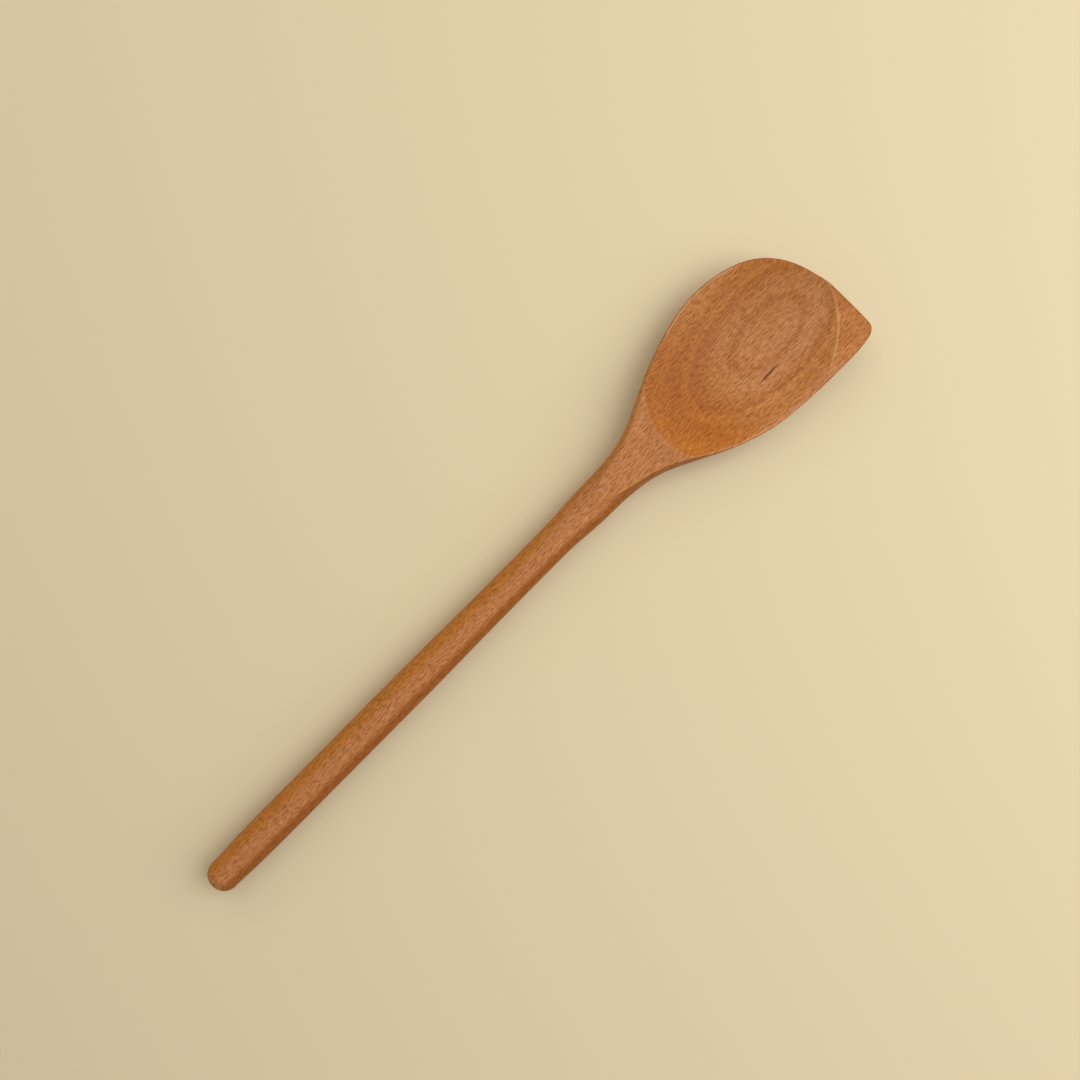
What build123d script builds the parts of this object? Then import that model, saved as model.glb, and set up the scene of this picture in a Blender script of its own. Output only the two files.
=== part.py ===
from build123d import *
from math import sqrt
import os

# Sizes in millimetres. X runs from the butt of the handle to the front edge of the head, Z is up,
# the rounded side of the head is on +Y and its square corner on -Y.

# Board that the spoon is cut from
board_thickness = 13.0

# Handle, from the butt to the neck. The straight round grip takes up what the rest leaves.
handle_length = 196.0
butt_length = 30.0
butt_radius = 5.85
butt_rounding = 5.0
grip_radius = 6.4
taper_length = 52.0
waist_length = 16.0
waist_radius = 6.0

# Neck, where the round handle turns into the flat board, at the end of the handle
neck_length = 28.0
neck_round_side = 6.95
neck_square_side = 7.3

# Head, from the neck to the front edge
head_length = 104.0
head_round_side = 26.25
head_square_side = 28.4

# Hollow of the bowl. Its oval begins on the board behind the bowl and ends just past the front.
hollow_depth = 7.0
hollow_from_neck = 24.8
hollow_past_front = 0.2
hollow_half_width = 29.2
hollow_aside = 0.3
hollow_turn = 7.1

# Sanded edges
top_edge_radius = 0.7
hollow_edge_radius = 0.6

# How far a cutting block reaches past the blank
overrun = 20.0

# Fullness of a quarter curve that comes out round
round_share = 0.5523

# How high the centre of the hollow's curve lies above the board, as a share of its own height
hollow_centre_share = 0.55

# Where the two arcs of a long curve meet: the share of its length and of its change in radius
butt_meeting_share = 0.20
taper_meeting_share = 0.25

# Places along the straight waist at which the head's skin is held to the round, closer together
# where it leaves the turned handle
waist_station_shares = (0.0, 0.1, 0.3, 0.6, 1.0)

# The swelling from the waist to the neck, one row for each station along it. A row gives the
# place along the neck, the share of the change in width that has come by then, and the heights of
# the crown and of the keel as shares of the board's thickness.
neck_swell_shares = (
    (0.36, 0.37, 0.969, 0.030),
    (0.68, 0.87, 0.977, 0.022),
    (1.00, 1.00, 1.077, 0.017),
)

# The head, one row for each station along it. A row gives the place along the head, the reach to
# the round side, the reach to the square side, how far the keel of the back lies to the square
# side, the height of the widest line, the height of the crown that the board's top face cuts off,
# the height of the keel, and the fullness of the back under the rim and beside the keel. Places
# are shares of the head's length, reaches of its two sides, heights of the board's thickness.
head_shares = (
    (0.067, 0.281, 0.278, 0.000, 0.523, 1.200, 0.015, 0.54, 0.55),
    (0.135, 0.325, 0.321, 0.000, 0.546, 1.315, 0.013, 0.50, 0.55),
    (0.202, 0.419, 0.409, 0.000, 0.580, 1.440, 0.011, 0.46, 0.55),
    (0.269, 0.543, 0.530, 0.000, 0.610, 1.600, 0.008, 0.41, 0.55),
    (0.365, 0.718, 0.710, 0.000, 0.650, 1.880, 0.004, 0.36, 0.55),
    (0.471, 0.870, 0.861, 0.000, 0.680, 2.150, 0.001, 0.33, 0.55),
    (0.577, 0.971, 0.951, 0.000, 0.695, 2.330, 0.003, 0.31, 0.55),
    (0.673, 0.999, 0.985, 0.000, 0.700, 2.400, 0.032, 0.30, 0.55),
    (0.760, 0.956, 0.998, 0.011, 0.705, 2.400, 0.119, 0.30, 0.55),
    (0.837, 0.861, 1.000, 0.042, 0.715, 2.370, 0.262, 0.30, 0.55),
    (0.899, 0.705, 0.998, 0.099, 0.735, 2.310, 0.415, 0.32, 0.55),
    (0.942, 0.514, 0.984, 0.183, 0.765, 2.240, 0.546, 0.36, 0.55),
    (0.973, 0.274, 0.954, 0.303, 0.820, 2.170, 0.654, 0.43, 0.60),
    (0.990, 0.034, 0.908, 0.408, 0.900, 2.110, 0.746, 0.50, 0.65),
    (0.998, -0.137, 0.852, 0.479, 1.000, 2.080, 0.862, 0.55, 0.70),
    (1.000, -0.213, 0.796, 0.500, 1.115, 2.060, 1.000, 0.55, 0.70),
    (1.001, -0.251, 0.761, 0.500, 1.269, 2.050, 1.169, 0.55, 0.70),
)

# Values that follow from the sizes
total_length = handle_length + head_length
axis_height = board_thickness / 2
waist_end = handle_length - neck_length
waist_start = waist_end - waist_length
grip_end = waist_start - taper_length
hollow_half_length = (head_length - hollow_from_neck + hollow_past_front) / 2
hollow_centre_x = handle_length + hollow_from_neck + hollow_half_length


def station(x, round_side, square_side, keel_aside, rim_height, crown_height, keel_height,
            rim_fullness, keel_fullness):
    """A cross-section of the blank: four quarter curves that run smoothly into each other."""
    keel_y = -keel_aside

    def quarter(side_y, end_height, side_fullness, end_fullness):
        rise = end_height - rim_height
        reach = side_y - keel_y
        return [
            Vector(x, side_y, rim_height),
            Vector(x, side_y, rim_height + side_fullness * rise),
            Vector(x, keel_y + end_fullness * reach, end_height),
            Vector(x, keel_y, end_height),
        ]

    over_round = quarter(round_side, crown_height, round_share, round_share)
    over_square = quarter(-square_side, crown_height, round_share, round_share)
    under_square = quarter(-square_side, keel_height, rim_fullness, keel_fullness)
    under_round = quarter(round_side, keel_height, rim_fullness, keel_fullness)
    return Wire([
        Edge.make_bezier(*over_round),
        Edge.make_bezier(*reversed(over_square)),
        Edge.make_bezier(*under_square),
        Edge.make_bezier(*reversed(under_round)),
    ])


def round_station(x, radius):
    """A round cross-section, in the same four quarters as the others."""
    across = Plane(origin=(x, 0, axis_height), x_dir=(0, 1, 0), z_dir=(1, 0, 0))
    return Wire([Edge.make_circle(radius, across, 90 * quarter, 90 * (quarter + 1))
                 for quarter in range(4)])


def long_curve(start, end, start_radius, end_radius, meeting_share):
    """Two long arcs of the turned profile, level at both ends, that run smoothly into each other."""
    meeting = (start + meeting_share * (end - start),
               start_radius + meeting_share * (end_radius - start_radius))
    first, middle, last = [Vector(x, 0, axis_height + radius)
                           for x, radius in ((start, start_radius), meeting, (end, end_radius))]
    leaving = Edge.make_tangent_arc(first, Vector(1, 0, 0), middle)
    return [leaving, Edge.make_tangent_arc(middle, leaving % 1, last)]


def turned_handle():
    """The rounded butt, the straight round grip and the taper to the slim waist."""
    swell = long_curve(butt_rounding, butt_length, butt_radius, grip_radius, butt_meeting_share)
    taper = long_curve(grip_end, waist_start, grip_radius, waist_radius, taper_meeting_share)
    butt_centre = Vector(0, 0, axis_height)
    waist_centre = Vector(waist_start, 0, axis_height)
    butt_flat = butt_centre + Vector(0, 0, butt_radius - butt_rounding)
    profile = Wire([
        Edge.make_line(butt_centre, butt_flat),
        Edge.make_tangent_arc(butt_flat, Vector(0, 0, 1), swell[0] @ 0),
        *swell,
        Edge.make_line(swell[1] @ 1, taper[0] @ 0),
        *taper,
        Edge.make_line(taper[1] @ 1, waist_centre),
        Edge.make_line(waist_centre, butt_centre),
    ])
    return Solid.revolve(Face(profile), 360, Axis(butt_centre, (1, 0, 0)))


def neck_stations():
    """The round waist, and the swelling in which the handle comes up to the board's flat top."""
    stations = [round_station(waist_start + place_share * (waist_end - waist_start), waist_radius)
                for place_share in waist_station_shares]
    for place_share, swell_share, crown_share, keel_share in neck_swell_shares:
        stations.append(station(waist_end + place_share * (handle_length - waist_end),
                                waist_radius + swell_share * (neck_round_side - waist_radius),
                                waist_radius + swell_share * (neck_square_side - waist_radius),
                                0, axis_height,
                                crown_share * board_thickness, keel_share * board_thickness,
                                round_share, round_share))
    return stations


def head_stations():
    """The flare, the broad head with its domed back, and the steep front."""
    stations = []
    for place, round_side, square_side, aside, rim, crown, keel, rim_full, keel_full in head_shares:
        stations.append(station(handle_length + place * head_length,
                                round_side * head_round_side, square_side * head_square_side,
                                aside * head_square_side, rim * board_thickness,
                                crown * board_thickness, keel * board_thickness,
                                rim_full, keel_full))
    return stations


def shaped_head():
    """Waist, neck and head in one skin, with the board's flat top and softened edges."""
    skin = Solid.make_loft(neck_stations() + head_stations())
    above = Box(total_length + 2 * overrun, 2 * (head_square_side + overrun), head_length,
                align=(Align.MIN, Align.CENTER, Align.MIN))
    flat = skin - Pos(-overrun, 0, board_thickness) * above
    top = flat.faces().filter_by(GeomType.PLANE).sort_by(Axis.Z)[-1]
    return flat.solid().fillet(top_edge_radius, top.edges())


def hollow_cutter():
    """The egg-shaped cutter, whose cut through the board's top is the rim of the hollow."""
    height = hollow_depth / (1 - hollow_centre_share)
    rim_share = sqrt(1 - hollow_centre_share ** 2)
    ball = Rot(0, 90, 0) * Sphere(1)
    cutter = scale(ball, by=(hollow_half_length / rim_share, hollow_half_width / rim_share, height))
    centre_height = board_thickness - hollow_depth + height
    return Pos(hollow_centre_x, -hollow_aside, centre_height) * (Rot(0, 0, hollow_turn) * cutter)


def hollowed_head():
    """The head with its hollow, the hollow's edge rubbed down."""
    bowl = (shaped_head() - hollow_cutter()).solid()
    floor_centre = Vector(hollow_centre_x, -hollow_aside, board_thickness - hollow_depth)
    hollow = bowl.faces().sort_by_distance(floor_centre)[0]
    return bowl.fillet(hollow_edge_radius, hollow.edges())


# The origin is under the middle of the spoon, on the surface that it lies on
to_middle = Pos(-total_length / 2, (head_square_side - head_round_side) / 2, 0)
wooden_spoon = to_middle * (turned_handle() + hollowed_head())
wooden_spoon.label = "spoon"

os.makedirs("parts", exist_ok=True)
export_step(wooden_spoon, "parts/spoon.step")
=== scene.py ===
from math import radians

import bpy
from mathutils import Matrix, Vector

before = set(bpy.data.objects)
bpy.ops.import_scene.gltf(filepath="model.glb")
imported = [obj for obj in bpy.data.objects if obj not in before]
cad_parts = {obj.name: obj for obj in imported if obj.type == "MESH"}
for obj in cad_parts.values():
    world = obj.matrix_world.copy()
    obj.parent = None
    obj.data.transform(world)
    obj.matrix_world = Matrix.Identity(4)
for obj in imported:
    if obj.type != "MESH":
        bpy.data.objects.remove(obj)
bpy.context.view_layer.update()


# The spoon, one length of flat-sawn beech from butt to front edge. The handle is turned, the bowl
# is milled, and the whole is sanded and rubbed with oil. The CAD piece keeps its shape here and
# gets the wood: growth layers, rays seen as short dark dashes, and fibres cut across in the walls.
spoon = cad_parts["spoon"]

beech = bpy.data.materials.new("oiled_beech")
beech.use_nodes = True
wood = beech.node_tree
wood.nodes.clear()


def put(net, kind, *feeds, **settings):
    """Adds a node to a material. Each feed fills the next socket, with a value or from a node."""
    made = net.nodes.new("ShaderNode" + kind)
    for name, value in settings.items():
        setattr(made, name, value)
    for socket, feed in zip(made.inputs, feeds):
        if isinstance(feed, bpy.types.NodeSocket):
            net.links.new(feed, socket)
        else:
            socket.default_value = feed
    return made


def reckon_place(net, operation, *feeds):
    """One step of arithmetic on places. A length or a dot product comes out as a number."""
    made = put(net, "VectorMath", *feeds, operation=operation)
    return made.outputs["Value" if operation in ("LENGTH", "DOT_PRODUCT") else "Vector"]


# Every place in the wood is measured in millimetres from the spoon's own origin
to_millimetres = (1000, 1000, 1000)
place = put(wood, "TexCoord")
millimetres = reckon_place(wood, "MULTIPLY", place.outputs["Object"], to_millimetres)
spot_along, spot_across, spot_height = put(wood, "SeparateXYZ", millimetres).outputs
facing = put(wood, "SeparateXYZ", place.outputs["Normal"])
facing_round_side = facing.outputs["Y"]
facing_up = facing.outputs["Z"]


def per(sizes):
    """How many of each size go in a millimetre."""
    return tuple(1 / size for size in sizes)


# The fibres wander a little to the side along the board
wander_lengths = (10, 5, 8)
wander_reach = (0, 1.5, 1.0)
wander = put(wood, "TexNoise", reckon_place(wood, "MULTIPLY", millimetres, per(wander_lengths)))
wander.inputs["Scale"].default_value = 1
wander.inputs["Detail"].default_value = 2
wander_from_middle = reckon_place(wood, "SUBTRACT", wander.outputs["Color"], (0.5, 0.5, 0.5))
wandered = reckon_place(wood, "MULTIPLY", wander_from_middle, wander_reach)
grown = reckon_place(wood, "ADD", millimetres, wandered)


def reckon(net, operation, *feeds):
    """One step of arithmetic on numbers."""
    return put(net, "Math", *feeds, operation=operation).outputs[0]


# Growth layers: a shallow trough, lowest under the bowl, that climbs towards the neck and lies
# level along the handle. They wander less than the fibres do.
layer_wander_shares = (1, 0.5, 0.22)
trough_along = 125.2
trough_across = -2.4
trough_height = 6.77
trough_curve = 0.00907
climb_slope = 0.107
climb_limit = 9.0
climb_rounding = 2.5
layer_place = reckon_place(wood, "MULTIPLY_ADD", wandered, layer_wander_shares, millimetres)
along, across, height = put(wood, "SeparateXYZ", layer_place).outputs
climb = reckon(wood, "MULTIPLY", reckon(wood, "SUBTRACT", trough_along, along), climb_slope)
levelled_climb = reckon(wood, "SMOOTH_MIN", climb, climb_limit, climb_rounding)
aside = reckon(wood, "SUBTRACT", across, trough_across)
trough = reckon(wood, "MULTIPLY", reckon(wood, "MULTIPLY", aside, aside), trough_curve)
above_trough = reckon(wood, "SUBTRACT", height, trough_height)
layer = reckon(wood, "ADD", reckon(wood, "ADD", above_trough, levelled_climb), trough)


def paint(red, green, blue):
    """A colour as a photograph gives it, 0 to 255, in the light values that a shader takes."""
    return tuple((part / 255 / 12.92) if part < 10 else ((part / 255 + 0.055) / 1.055) ** 2.4
                 for part in (red, green, blue)) + (1.0,)


def set_ramp(ramp, stops):
    """Sets a ramp's stops, each a share of the way and a colour."""
    while len(ramp.elements) > 1:
        ramp.elements.remove(ramp.elements[-1])
    ramp.elements[0].position = stops[0][0]
    ramp.elements[0].color = stops[0][1]
    for share, colour in stops[1:]:
        ramp.elements.new(share).color = colour


# The rings: each growth layer's height above the trough, in millimetres, and its tone
pale_wood = paint(184, 121, 69)
# The rosy tone, on the highest layers along the top of the handle and the neck, is partly painted
# sheen
rosy_wood_and_painted_sheen = paint(190, 125, 74)
late_wood = paint(171, 105, 51)
honey_wood = paint(187, 120, 60)
tan_wood = paint(180, 113, 53)
dark_honey_wood = paint(174, 106, 49)
growth_rings = (
    (-6.0, tan_wood),
    (-4.0, pale_wood),
    (-3.6, late_wood),
    (-1.5, pale_wood),
    (0.70, pale_wood),
    (1.15, late_wood),
    (1.60, pale_wood),
    (2.50, pale_wood),
    (4.40, dark_honey_wood),
    (4.90, dark_honey_wood),
    (5.35, honey_wood),
    (5.80, honey_wood),
    (6.50, tan_wood),
    (7.90, tan_wood),
    (9.40, honey_wood),
    (11.0, rosy_wood_and_painted_sheen),
    (12.2, pale_wood),
    (13.2, rosy_wood_and_painted_sheen),
)
lowest_ring = growth_rings[0][0]
ring_span = growth_rings[-1][0] - lowest_ring
ring_share = reckon(wood, "DIVIDE", reckon(wood, "SUBTRACT", layer, lowest_ring), ring_span)
ring_tones = put(wood, "ValToRGB", ring_share)
set_ramp(ring_tones.color_ramp, [((level - lowest_ring) / ring_span, tone)
                                 for level, tone in growth_rings])


def fade(net, measure, none_at, full_at, least=0.0, most=1.0, even=False):
    """Turns a measure into a share: the least at one value of it, the most at the other."""
    return put(net, "MapRange", measure, none_at, full_at, least, most,
               interpolation_type="LINEAR" if even else "SMOOTHSTEP").outputs[0]


def tint(net, share, base, tone):
    """Multiplies a colour by a tone, to the share that is asked for."""
    return put(net, "MixRGB", share, base, tone, blend_type="MULTIPLY").outputs[0]


# How far a spot lies from the middle of the milled hollow: 1 at its rim, less inside
hollow_middle = (110.5, 0.775, 0)
hollow_turn = 7.1
hollow_half_length = 39.7
hollow_half_width = 29.2
from_hollow = reckon_place(wood, "SUBTRACT", millimetres, hollow_middle)
hollow_turned = put(wood, "VectorRotate", from_hollow, rotation_type="Z_AXIS")
hollow_turned.inputs["Angle"].default_value = -radians(hollow_turn)
hollow_share = reckon_place(wood, "MULTIPLY", hollow_turned.outputs[0],
                            (1 / hollow_half_length, 1 / hollow_half_width, 0))
hollow_reach = reckon_place(wood, "LENGTH", hollow_share)

# The hollow's walls are paler on the square side and darker on the rounded side: partly the wood's
# own tone, partly painted light and shade for how the light falls across the bowl
square_wall_tone_and_painted_light = (1.15, 1.22, 1.46, 1)
round_wall_tone_and_painted_shade = (0.94, 0.91, 0.77, 1)
inside_rim = fade(wood, hollow_reach, none_at=1.02, full_at=0.98, even=True)
in_hollow = reckon(wood, "MULTIPLY", inside_rim, reckon(wood, "GREATER_THAN", facing_up, 0))
to_round_side = fade(wood, across, none_at=-16, full_at=16)
wall_tone_and_painted_light = put(wood, "MixRGB", to_round_side, square_wall_tone_and_painted_light, round_wall_tone_and_painted_shade)
walls_toned_and_painted_lit = tint(wood, in_hollow, ring_tones.outputs["Color"], wall_tone_and_painted_light.outputs[0])

# Where the surface cuts across the fibres it drinks more oil, and looks darker and more golden
fibre_direction = (0.994, 0, 0.106)
end_grain_delay = 0.4
soaked_tone = (0.83, 0.66, 0.19, 1)
grain = reckon_place(wood, "DOT_PRODUCT", place.outputs["Normal"], fibre_direction)
end_grain = reckon(wood, "SUBTRACT", reckon(wood, "ABSOLUTE", grain), end_grain_delay)
cut_across = reckon(wood, "MAXIMUM", grain, end_grain)
soak = fade(wood, cut_across, none_at=0.10, full_at=0.29, even=True)
soaked = tint(wood, soak, walls_toned_and_painted_lit, soaked_tone)

# The hollow's front wall, where the fibres lean the other way, stays dry and pale
dry_tone = (1.07, 1.11, 1.17, 1)
dryness = fade(wood, grain, none_at=-0.02, full_at=-0.30, even=True)
dried = tint(wood, dryness, soaked, dry_tone)

# The flanks, cut flat to the rays, are browner than the crown, partly from that grain and partly
# as painted shade where they turn away from the light, in a broader band on the handle than on the
# head
round_flank_start = 0.15
round_flank_on_handle = 0.37
square_flank_on_handle = 0.10
round_flank_tone_and_painted_shade = (1.00, 0.88, 0.40, 1)
square_flank_tone_and_painted_shade = (0.64, 0.49, 0.20, 1)
on_handle = fade(wood, spot_along, none_at=45, full_at=5)
round_flank = reckon(wood, "MULTIPLY_ADD", on_handle, round_flank_on_handle,
                     reckon(wood, "SUBTRACT", facing_round_side, round_flank_start))
square_flank = reckon(wood, "MULTIPLY_ADD", on_handle, square_flank_on_handle,
                      reckon(wood, "MULTIPLY", facing_round_side, -1))
flanks_toned_and_shaded = dried
for turned_aside, flank_tone_and_shade in ((round_flank, round_flank_tone_and_painted_shade),
                                 (square_flank, square_flank_tone_and_painted_shade)):
    flank = fade(wood, turned_aside, none_at=0.40, full_at=0.80)
    flanks_toned_and_shaded = tint(wood, flank, flanks_toned_and_shaded, flank_tone_and_shade)

# Fibres between the rays, lighter and darker in fine wavy lines
fibre_sizes = (2.6, 0.26, 2.5)
dark_fibre = (0.88, 0.82, 0.69, 1)
light_fibre = (1.17, 1.25, 1.42, 1)
fibres = put(wood, "TexNoise", reckon_place(wood, "MULTIPLY", grown, per(fibre_sizes)))
fibres.inputs["Scale"].default_value = 1
fibres.inputs["Detail"].default_value = 0
fibre_tones = put(wood, "ValToRGB", fibres.outputs[0])
set_ramp(fibre_tones.color_ramp, [(0.25, dark_fibre), (0.75, light_fibre)])
fibred = tint(wood, 1.0, flanks_toned_and_shaded, fibre_tones.outputs[0])


# Rays, the fine dark dashes: thin upright sheets a few millimetres long. Seen on edge from above
# they are dark, and seen flat on the sides of the handle they are pale and broad.
def grow_rays(length, spacing, sheet_height, thickness):
    """How dark the rays of one size make the wood, from 0 to 1. All sizes in millimetres."""
    cells_per_half_ray = 2.1
    cells = reckon_place(wood, "MULTIPLY", grown, per((length, spacing, sheet_height)))
    rays = put(wood, "TexVoronoi", cells, voronoi_dimensions="3D", feature="F1")
    rays.inputs["Scale"].default_value = 1
    rays.inputs["Randomness"].default_value = 0.85
    from_core = reckon_place(wood, "SUBTRACT", cells, rays.outputs["Position"])
    from_core_in_rays = reckon_place(wood, "MULTIPLY", from_core,
                                     (cells_per_half_ray, spacing / thickness, 0))
    off_core = reckon_place(wood, "LENGTH", from_core_in_rays)
    depth = fade(wood, off_core, none_at=1.0, full_at=0.1)
    chance = put(wood, "SeparateColor", rays.outputs["Color"])
    strength = fade(wood, chance.outputs["Red"], none_at=0, full_at=1, least=0.40, even=True)
    return reckon(wood, "MULTIPLY", depth, strength)


ray_tone = (0.53, 0.37, 0.13, 1)
small_rays = grow_rays(length=2.9, spacing=0.62, sheet_height=4, thickness=0.22)
large_rays = grow_rays(length=5.0, spacing=1.30, sheet_height=6, thickness=0.30)
upright = reckon(wood, "ABSOLUTE", facing_up)
seen_on_edge = fade(wood, upright, none_at=0, full_at=1, least=0.30, even=True)
ray = reckon(wood, "MULTIPLY", reckon(wood, "MAXIMUM", small_rays, large_rays), seen_on_edge)
dashed = tint(wood, ray, fibred, ray_tone)

# Painted highlights: paler lines painted along the hollow's rim, most of all beside the square
# corner, and along the crest on the rounded side, where the rounded edges catch the light
neck_end = 90
neck_rim_highlight = 0.2
full_highlight = 0.58
painted_highlight_colour = paint(212, 156, 104)
off_rim = reckon(wood, "ABSOLUTE", reckon(wood, "SUBTRACT", hollow_reach, 1.0))
on_rim = fade(wood, off_rim, none_at=0.020, full_at=0.004)
on_top = fade(wood, spot_height, none_at=11.8, full_at=12.4, even=True)
at_corner = fade(wood, spot_along, none_at=126, full_at=135, least=0.15)
to_square_side = fade(wood, spot_across, none_at=-5, full_at=-15, least=0.45)
corner_highlight = reckon(wood, "MULTIPLY", at_corner, to_square_side)
highlight_along_rim = reckon(wood, "MULTIPLY_ADD", reckon(wood, "LESS_THAN", spot_along, neck_end),
                        neck_rim_highlight, corner_highlight)
rim_highlight = reckon(wood, "MULTIPLY", reckon(wood, "MULTIPLY", on_rim, on_top), highlight_along_rim)
on_crest = fade(wood, facing_up, none_at=0.945, full_at=0.985)
on_round_edge = fade(wood, spot_across, none_at=22.5, full_at=25)
crest_highlight = reckon(wood, "MULTIPLY", on_crest, on_round_edge)
painted_highlight = reckon(wood, "MULTIPLY", reckon(wood, "MAXIMUM", rim_highlight, crest_highlight), full_highlight)
highlighted = put(wood, "MixRGB", painted_highlight, dashed, painted_highlight_colour)

# One dark mineral fleck in the bowl, along the grain
fleck_middle = (114.2, -11.1, 7.5)
fleck_reach = (6.6, 0.65, 3)
fleck_colour = paint(98, 48, 20)
from_fleck = reckon_place(wood, "SUBTRACT", grown, fleck_middle)
off_fleck = reckon_place(wood, "LENGTH",
                         reckon_place(wood, "MULTIPLY", from_fleck, per(fleck_reach)))
fleck = fade(wood, off_fleck, none_at=1.0, full_at=0.25)
flecked = put(wood, "MixRGB", fleck, highlighted.outputs[0], fleck_colour)

# Satin oil: a little rougher in the rays, which stand open as shallow grooves between the fibres
fibre_relief = 0.35
roughness = fade(wood, ray, none_at=0, full_at=1, least=0.50, most=0.66, even=True)
relief = reckon(wood, "SUBTRACT", reckon(wood, "MULTIPLY", fibres.outputs[0], fibre_relief), ray)
grooves = put(wood, "Bump")
grooves.inputs["Strength"].default_value = 0.35
grooves.inputs["Distance"].default_value = 0.00005
wood.links.new(relief, grooves.inputs["Height"])
surface = put(wood, "BsdfPrincipled")
surface.inputs["IOR"].default_value = 1.45
surface.inputs["Specular IOR Level"].default_value = 0.3
wood.links.new(flecked.outputs[0], surface.inputs["Base Color"])
wood.links.new(roughness, surface.inputs["Roughness"])
wood.links.new(grooves.outputs[0], surface.inputs["Normal"])
put(wood, "OutputMaterial", surface.outputs[0])

spoon.data.materials.clear()
spoon.data.materials.append(beech)


# The table that the spoon lies on: plain cream card, one wide sheet that fades out into the
# surroundings well away from the spoon.
card_reach = 2.0
card = bpy.data.meshes.new("card")
card.from_pydata([(x, y, 0) for x, y in ((-card_reach, -card_reach), (card_reach, -card_reach),
                                         (card_reach, card_reach), (-card_reach, card_reach))],
                 [], [(0, 1, 2, 3)])
table = bpy.data.objects.new("table", card)
bpy.context.scene.collection.objects.link(table)
cream = bpy.data.materials.new("cream_card")
cream.use_nodes = True
paper = cream.node_tree
paper_surface = paper.nodes["Principled BSDF"]
paper_surface.inputs["Base Color"].default_value = paint(226, 211, 177)
paper_surface.inputs["Roughness"].default_value = 0.9
paper_place = put(paper, "TexCoord")
from_spoon = reckon_place(paper, "LENGTH", paper_place.outputs["Object"])
solid_paper = fade(paper, from_spoon, none_at=1.6, full_at=0.5)
paper.links.new(solid_paper, paper_surface.inputs["Alpha"])
card.materials.append(cream)


# Soft studio light: a broad lamp from beyond the head, a weaker one from the other side, and
# pale surroundings.
def hang_lamp(name, place, size, power, colour):
    """A square soft lamp that faces the spoon."""
    light = bpy.data.lights.new(name, "AREA")
    light.size = size
    light.energy = power
    light.color = colour
    lamp = bpy.data.objects.new(name, light)
    lamp.location = place
    lamp.rotation_euler = (-Vector(place)).to_track_quat("-Z", "Y").to_euler()
    lamp.visible_camera = False
    bpy.context.scene.collection.objects.link(lamp)


hang_lamp("broad_lamp", place=(0.56, -0.42, 0.72), size=1.1, power=8.8,
          colour=(1.0, 0.99, 0.965))
hang_lamp("side_lamp", place=(0.35, 0.8, 1.0), size=1.3, power=5.2, colour=(1.0, 0.94, 0.86))

surroundings = bpy.data.worlds.new("surroundings")
surroundings.use_nodes = True
sky = surroundings.node_tree
sky.nodes.clear()
light_level = 0.33
seen_level = 0.85
seen = put(sky, "LightPath").outputs["Is Camera Ray"]
level = fade(sky, seen, none_at=0, full_at=1, least=light_level, most=seen_level, even=True)
air = put(sky, "Background", paint(250, 245, 232), level)
put(sky, "OutputWorld", air.outputs[0])
bpy.context.scene.world = surroundings
bpy.context.scene.view_settings.view_transform = "Standard"


# The camera looks straight down from about 0.4 m above the table, turned so that the spoon lies
# across the frame from lower left to upper right.
view_angle = 53.3
view_turn = -45.23
view_middle = (0.0163, 0.0050)
view_height = 0.384
eye = bpy.data.cameras.new("camera")
eye.angle = radians(view_angle)
camera = bpy.data.objects.new("camera", eye)
camera.location = (*view_middle, view_height)
camera.rotation_euler = (0, 0, radians(view_turn))
bpy.context.scene.collection.objects.link(camera)
bpy.context.scene.camera = camera
